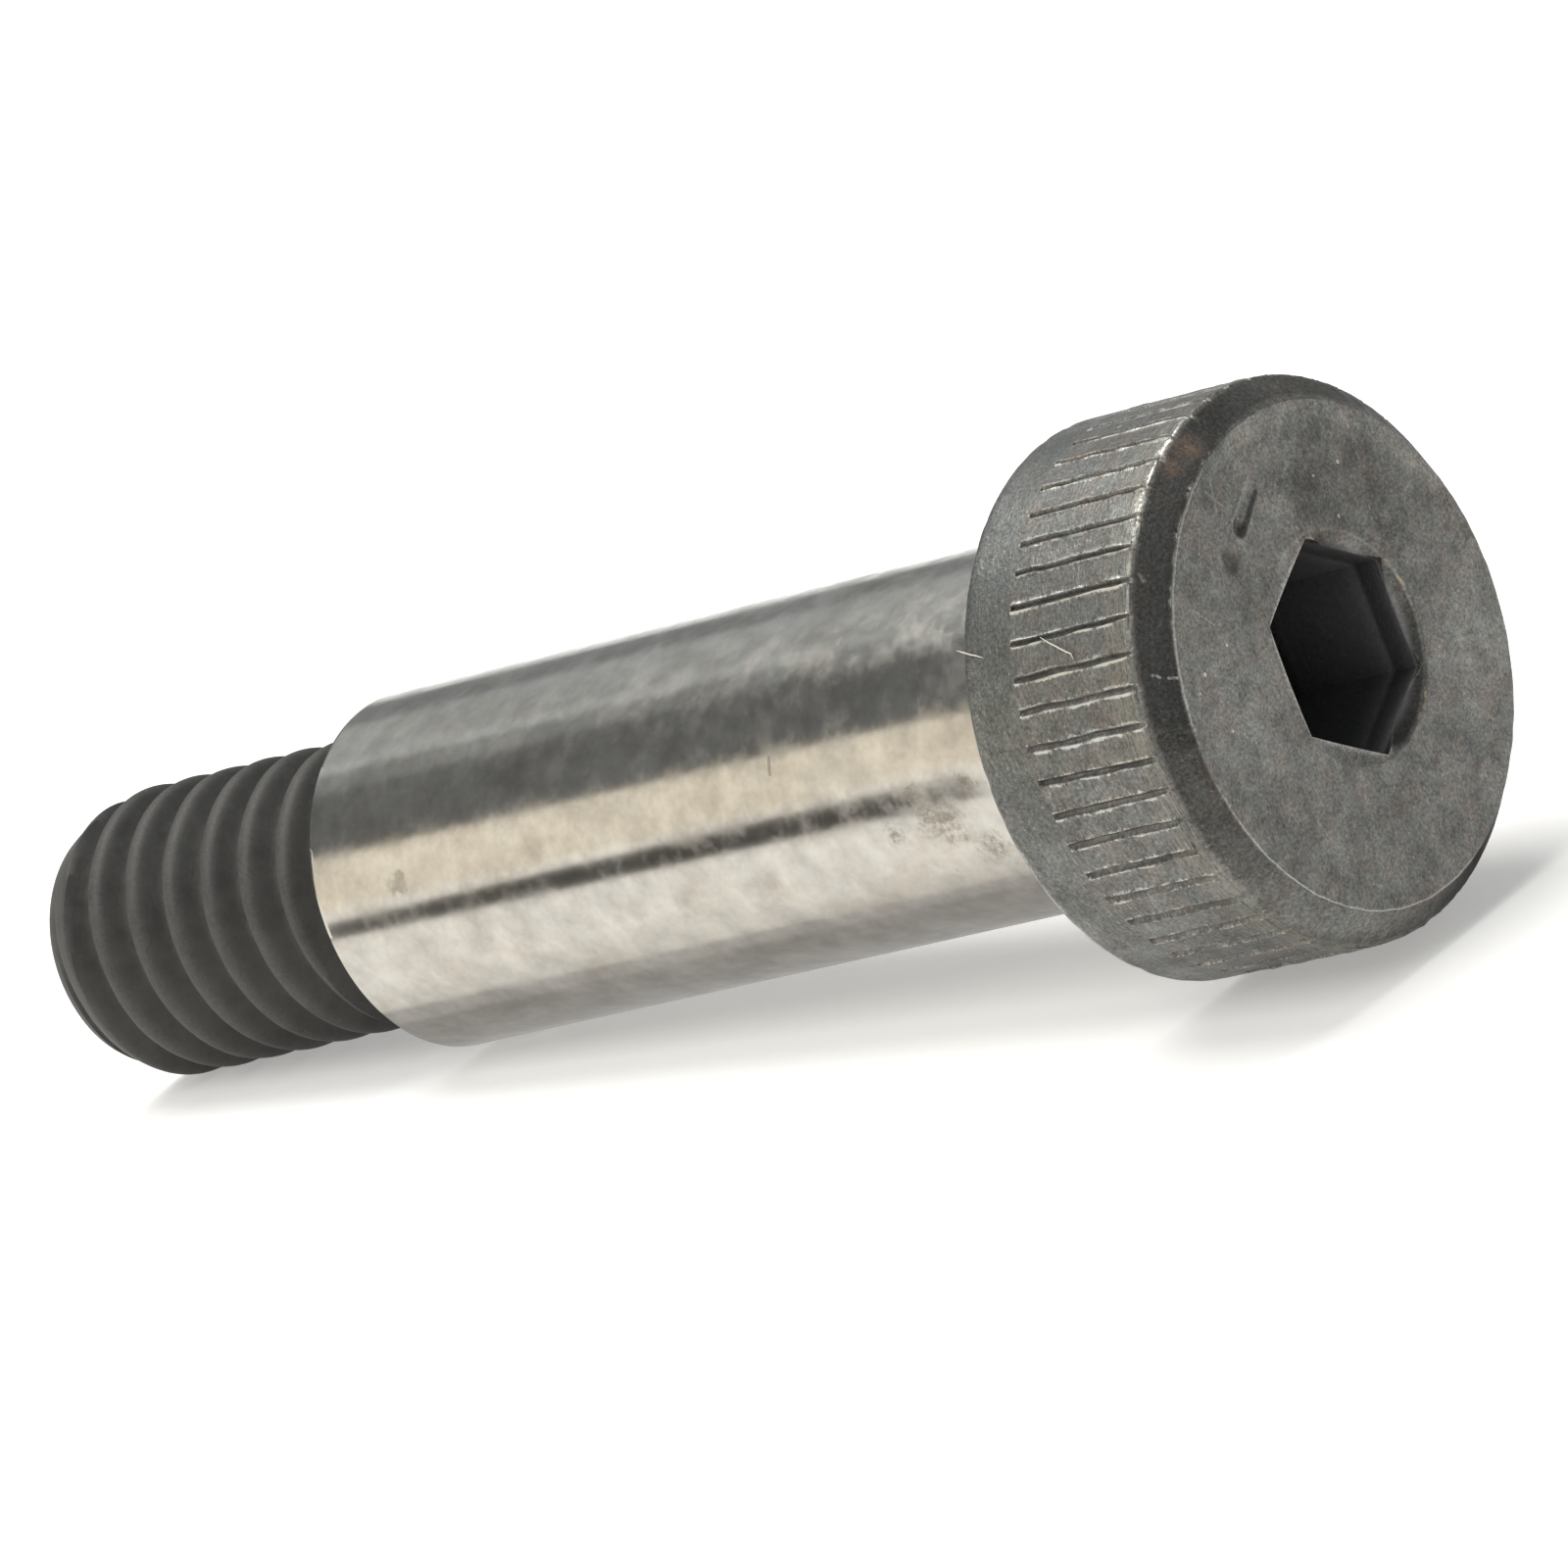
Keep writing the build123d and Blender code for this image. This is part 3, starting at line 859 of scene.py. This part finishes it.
    base = t.mix(t.mul(scratch, 0.45), base, (0.34, 0.33, 0.30))
    # rust spots
    rag = t.mul(t.math("SUBTRACT", grit, 0.5), 3.4)
    rust = t.near(
        v,
        [
            (*polar(5.84, 6.79, 106.6), 0.50), (*polar(5.78, 6.85, 113.0), 0.34),
            (6.22, 0.36, 2.93, 0.26), (6.20, 3.02, -1.30, 0.16),
        ],
        rag, 0.6,
    )
    rust = t.mul(rust, t.span(fine, 0.36, 0.56, 0.15, 1.0))
    rust_c = t.ramp(fine, [(0.35, (0.060, 0.036, 0.020)), (0.65, (0.200, 0.100, 0.045))])
    base = t.mix(t.mul(rust, 0.58), base, rust_c)
    # yellowish flecks on the socket's mouth
    fleck = t.most(
        t.streak(v, (6.24, 3.03, 0.78), (6.24, 3.13, 0.50), 0.055),
        t.streak(v, (6.24, 2.30, -1.95), (6.24, 2.18, -2.12), 0.05),
        t.streak(v, (6.24, 1.75, -2.38), (6.24, 1.62, -2.47), 0.05),
    )
    base = t.mix(t.mul(fleck, 0.6, t.span(fine, 0.3, 0.6)), base, (0.50, 0.43, 0.26))
    rough = t.add(
        t.mul(t.math("SUBTRACT", cloud, 0.5), -0.6), t.mul(chamf, -0.10), 0.46
    )
    rough = t.add(rough, t.mul(worn_and_lit, -0.15), t.mul(groove, 0.10), t.mul(plain, -0.04))
    rough = t.math("ADD", rough, t.add(t.mul(rust, 0.25), t.mul(inner, 0.25)), clamp=True)
    dull = t.most(t.mul(rust, 0.7), t.mul(t.att("lint"), 0.85))
    metal = t.math("SUBTRACT", 0.85, dull, clamp=True)
    h = t.add(t.mul(fine, 0.6), t.mul(ringed, 0.4))
    n = t.bump(t.add(h, t.mul(mid, 1.4)), 0.000015, 0.9)
    # the chamfer gives back little light at a shallow angle
    t.link(t.mix(chamf, (1.0, 1.0, 1.0), (0.25, 0.25, 0.25)), t.bsdf.inputs["Specular Tint"])
    return t.finish(base, rough, metal, n)


def ground():
    """Cylindrically ground steel: bright, with faint marks round it and small stains."""
    t = Tree("ground_steel")
    v = t.att("loc", True)
    s = t.split(v)
    fine = t.noise(t.scale(v, (9.0, 3.5, 3.5)), 1.0, 2, 0.5)
    smear = t.noise(t.scale(v, (2.2, 1.1, 1.1), (2, 4, 6)), 1.0, 2, 0.6)
    blot = t.noise(t.scale(v, (0.5, 0.8, 0.8)), 1.0, 2, 0.6)
    tone = t.noise(t.scale(v, (1, 1, 1), (8, 2, 3)), 1.6, 4, 0.75)
    pit = t.noise(t.scale(v, (1, 1, 1), (2, 5, 7)), 5.5, 3, 0.7)
    base = t.ramp(
        t.add(t.mul(blot, 0.5), t.mul(tone, 0.5)),
        [
            (0.36, (0.395, 0.366, 0.325)),
            (0.50, (0.440, 0.416, 0.378)),
            (0.64, (0.470, 0.452, 0.420)),
        ],
    )
    base = t.tint(base, t.span(t.noise(v, 0.9, 3, 0.66), 0.34, 0.66, 0.86, 1.14, "LINEAR"))
    # stains close to the head and a few small ones along the shoulder
    rag = t.mul(t.math("SUBTRACT", tone, 0.5), 2.4)
    spots = t.near(
        v,
        [
            (*polar(-3.9, 4.725, 186.5), 0.85), (*polar(-4.3, 4.725, 183.0), 0.55),
            (*polar(-3.5, 4.725, 191), 0.5), (*polar(-2.8, 4.725, 199), 0.7),
            (*polar(-5.6, 4.725, 187), 0.5),
            (*polar(-4.4, 4.725, 176.5), 0.5), (*polar(-2.7, 4.725, 176.4), 0.5),
        ],
        rag, 1.0,
    )
    spots = t.mul(spots, t.span(pit, 0.36, 0.62, 0.10, 1.0))
    small = [
        (*polar(-22.2, 4.725, 167.5), 0.38), (*polar(-22.1, 4.725, 164.0), 0.25),
    ]
    mark = t.most(
        t.streak(v, polar(-8.80, 4.725, 155.0), polar(-8.84, 4.725, 160.0), 0.07),
        t.near(v, small, rag, 0.6),
    )
    near_head = t.span(s[0], -11.0, -2.2, 0.0, 1.0)
    dust = t.mul(t.span(pit, 0.60, 0.72), near_head, t.span(smear, 0.50, 0.62))
    marks = t.most(t.mul(spots, 0.62), t.mul(mark, 0.42), t.mul(dust, 0.25))
    base = t.mix(marks, base, (0.125, 0.097, 0.062))
    # matter patches catch light where the rest mirrors the dark
    patch = t.noise(t.scale(v, (1, 1, 1), (4, 6, 1)), 1.15, 3, 0.62)
    haze = t.mul(t.span(patch, 0.40, 0.64), t.span(s[0], -22.0, -4.0, 0.55, 1.0))
    flick = t.mul(t.span(fine, 0.50, 0.64), t.span(s[0], -9.0, -3.0))
    rough = t.add(t.mul(haze, 0.10), t.mul(flick, 0.02), t.mul(marks, 0.20), 0.15)
    n = t.bump(t.add(t.mul(fine, 0.10), t.mul(patch, 0.30), blot), 0.0000050, 0.30)
    return t.finish(base, rough, t.math("SUBTRACT", 1.0, t.mul(marks, 0.25)), n)


def thread():
    """Rolled thread, dark and even, slightly lighter on its crests."""
    t = Tree("dark_thread_steel")
    v = t.att("loc", True)
    rad = t.radius(v)
    cloud = t.noise(v, 1.2, 4, 0.75)
    fine = t.noise(v, 10.0, 2, 0.6)
    flow = t.noise(t.scale(v, (16.0, 1.0, 1.0)), 1.0, 1, 0.5)
    base = t.ramp(
        cloud,
        [
            (0.36, (0.073, 0.071, 0.067)),
            (0.50, (0.086, 0.084, 0.079)),
            (0.64, (0.099, 0.097, 0.091)),
        ],
    )
    crest = t.span(rad, 3.60, 3.88)
    # painted light and shade: the thread's roots are lightened and its crests darkened against its own shading
    base = t.tint(base, t.span(rad, 3.15, 3.80, 1.12, 0.86))
    base = t.mix(t.mul(crest, t.span(fine, 0.40, 0.62), 0.10), base, (0.20, 0.195, 0.18))
    rough = t.add(t.mul(t.math("SUBTRACT", cloud, 0.5), 0.3), 0.66)
    n = t.bump(t.add(t.mul(fine, 0.5), t.mul(flow, 0.4)), 0.000008, 0.6)
    return t.finish(base, rough, 0.60, n)


for m in (oxide(), ground(), thread()):
    mesh.materials.append(m)
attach(bolt, "root")
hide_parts("shoulder_bolt")


# ------------------------------------------------------------------ the stage
def plain_mat(name, color, rough, glow=0.0):
    m = bpy.data.materials.new(name)
    m.use_nodes = True
    b = m.node_tree.nodes["Principled BSDF"]
    b.inputs["Base Color"].default_value = (*color, 1)
    b.inputs["Roughness"].default_value = rough
    b.inputs["Specular IOR Level"].default_value = 0.1
    b.inputs["Emission Color"].default_value = (1.0, 0.99, 0.97, 1)
    b.inputs["Emission Strength"].default_value = glow
    m.cycles.emission_sampling = "NONE"
    return m


def sheet(name, corners, mat):
    me = bpy.data.meshes.new(name)
    me.from_pydata([Vector(c) for c in corners], [], [tuple(range(len(corners)))])
    me.materials.append(mat)
    o = bpy.data.objects.new(name, me)
    bpy.context.scene.collection.objects.link(o)
    return o


floor = sheet(
    "floor",
    [(-1.5, -1.5, 0), (1.5, -1.5, 0), (1.5, 1.5, 0), (-1.5, 1.5, 0)],
    plain_mat("pale_floor", (0.86, 0.853, 0.835), 0.9, 0.32),
)
# a dark studio card lying outside the picture: it shows only as the thin dark
# line in the shoulder's reflection
flag = sheet(
    "dark_card",
    [
        (x, y, 0.0003)
        for x, y in (
            (-0.0440, -0.0390), (-0.0248, -0.0183), (-0.0160, -0.0188), (-0.0105, -0.0196),
            (-0.0050, -0.0199), (0.0, -0.0205), (-0.0450, -0.0690),
        )
    ],
    plain_mat("dark_card", (0.02, 0.02, 0.02), 0.9, 0.04),
)
# two grey ones under the shoulder tone down the floor's reflection there
def grey(name, y, z, glow):
    return sheet(
        name, [(-0.0165, -y, z), (0.0148, -y, z), (0.0148, y, z), (-0.0165, y, z)],
        plain_mat(name, (0.02, 0.02, 0.02), 0.9, glow),
    )


tone_a = grey("grey_card_wide", 0.0047, 0.0002, 0.66)
tone_b = grey("grey_card_narrow", 0.0038, 0.00025, 0.50)
for card in (flag, tone_a, tone_b):
    card.visible_camera = False
    card.visible_diffuse = False
    card.visible_shadow = False


def panel(name, az, el, dist, width, height, radiance, color, aim=(0, 0, 0.006)):
    a, e = math.radians(az), math.radians(el)
    d = Vector((math.cos(a) * math.cos(e), math.sin(a) * math.cos(e), math.sin(e)))
    li = bpy.data.lights.new(name, "AREA")
    li.shape = "RECTANGLE"
    li.size, li.size_y = width, height
    li.energy = radiance * math.pi * width * height
    li.color = color
    o = bpy.data.objects.new(name, li)
    o.location = Vector(aim) + d * dist
    o.rotation_mode = "QUATERNION"
    o.rotation_quaternion = d.to_track_quat("Z", "Y")
    bpy.context.scene.collection.objects.link(o)
    o.visible_camera = False
    return o


panel("overhead_softbox", 160, 74, 0.55, 0.42, 0.42, 5.6, (1.0, 0.99, 0.97))
panel("front_fill", -97, 46, 0.50, 0.34, 0.30, 3.4, (1.0, 0.99, 0.97))
panel("left_panel", -134, 11.0, 0.50, 0.55, 0.205, 1.20, (1.0, 0.92, 0.76))
panel("back_panel", 153, 36, 0.55, 0.33, 0.20, 0.40, (0.94, 1.0, 1.02))
panel("back_panel_edge", 178, 38, 0.55, 0.16, 0.20, 0.16, (0.94, 1.0, 1.02))
panel("back_panel_low", 146, 18, 0.55, 0.30, 0.12, 0.08, (0.94, 1.0, 1.02))
panel("low_back_panel", 132, 3, 0.60, 0.40, 0.10, 0.7, (1.0, 1.0, 0.98))

world = bpy.data.worlds.new("studio")
world.use_nodes = True
bg = world.node_tree.nodes["Background"]
bg.inputs[0].default_value = (0.95, 1.0, 1.02, 1)
bg.inputs[1].default_value = 0.24
bpy.context.scene.world = world
bpy.context.scene.view_settings.view_transform = "Standard"

# ----------------------------------------------------------------- the camera
cam = bpy.data.cameras.new("camera")
cam.sensor_width = 36.0
cam.lens = 287.9915
cam.clip_start, cam.clip_end = 0.01, 10.0
eye = bpy.data.objects.new("camera", cam)
right = Vector((0.75960082, 0.56314442, -0.32538433))
up = Vector((0.08884669, 0.40575535, 0.90965315))
back = Vector((0.64429253, -0.71988260, 0.25817858))
turn = Matrix((right, up, back)).transposed().to_4x4()
turn.translation = Vector((0.20830903, -0.23014559, 0.08853648))
eye.matrix_world = turn
bpy.context.scene.collection.objects.link(eye)
bpy.context.scene.camera = eye
